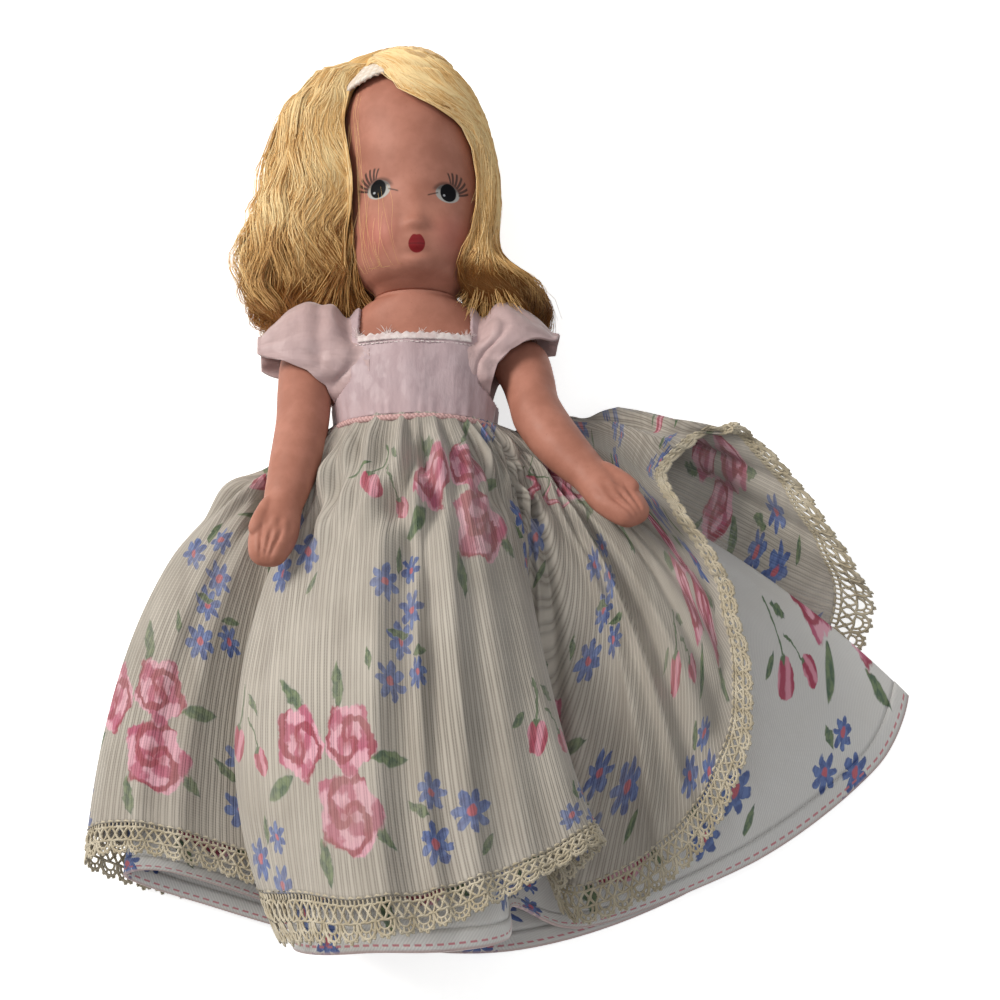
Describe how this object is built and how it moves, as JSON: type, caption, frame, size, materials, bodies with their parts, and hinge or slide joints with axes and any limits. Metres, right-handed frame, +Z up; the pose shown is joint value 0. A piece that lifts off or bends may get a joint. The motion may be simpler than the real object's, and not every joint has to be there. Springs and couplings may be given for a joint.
{
  "type": "costume doll",
  "caption": "Small strung doll lying on its back in a satin bodice and spread printed skirts; its head turns, its arms lift and its legs swing.",
  "frame": {"origin": "middle of the bounding box at table height, with the doll on its back", "axes": "+X to the viewer's right as the doll is looked down on, +Y towards the head, +Z up from the table out of the doll's front"},
  "size_m": [0.1278, 0.1469, 0.0445],
  "materials": {
    "skin": "matt painted bisque",
    "elastic": "covered elastic cord",
    "cotton": "plain cotton",
    "satin": "pale satin",
    "piping": "narrow piping",
    "button": "small two-hole button",
    "taffeta": "printed taffeta",
    "hem": "stitched hem",
    "dimity": "sheer ribbed cotton with a floral print",
    "lace": "cream crochet lace",
    "hair": "blond mohair"
  },
  "bodies": {
    "dressed_torso": {"torso": "skin", "arm_cord": "elastic", "leg_cord": "elastic", "neck_cord": "elastic", "knickers": "cotton", "bodice": "satin", "neck_binding": "cotton", "waist_piping": "piping", "back_button": "button", "petticoat": "taffeta", "petticoat_hem": "hem", "overskirt": "dimity", "lace_trim": "lace"},
    "wigged_head": {"head": "skin", "wig_cap": "cotton", "parting_tape": "cotton", "hair_left": "hair", "hair_right": "hair", "hair_back": "hair", "hair_crown": "hair"},
    "left_arm": {"arm_left": "skin", "sleeve_left": "satin"},
    "right_arm": {"arm_right": "skin", "sleeve_right": "satin"},
    "left_leg": {"leg_left": "skin"},
    "right_leg": {"leg_right": "skin"}
  },
  "joints": [
    {"name": "head_turn", "type": "hinge", "parent": "dressed_torso", "child": "wigged_head", "pos_m": [-0.0132, 0.032, 0.016], "axis": [0, 1, 0], "range_deg": [-20, 20]},
    {"name": "left_arm_raise", "type": "hinge", "parent": "dressed_torso", "child": "left_arm", "pos_m": [-0.03, 0.021, 0.016], "axis": [-1, 0, 0], "range_deg": [0, 90]},
    {"name": "right_arm_raise", "type": "hinge", "parent": "dressed_torso", "child": "right_arm", "pos_m": [0.0036, 0.021, 0.016], "axis": [-1, 0, 0], "range_deg": [0, 90]},
    {"name": "left_leg_swing", "type": "hinge", "parent": "dressed_torso", "child": "left_leg", "pos_m": [-0.0221, -0.0165, 0.016], "axis": [-1, 0, 0], "range_deg": [-6, 7]},
    {"name": "right_leg_swing", "type": "hinge", "parent": "dressed_torso", "child": "right_leg", "pos_m": [-0.0043, -0.0165, 0.016], "axis": [-1, 0, 0], "range_deg": [-6, 7]}
  ]
}
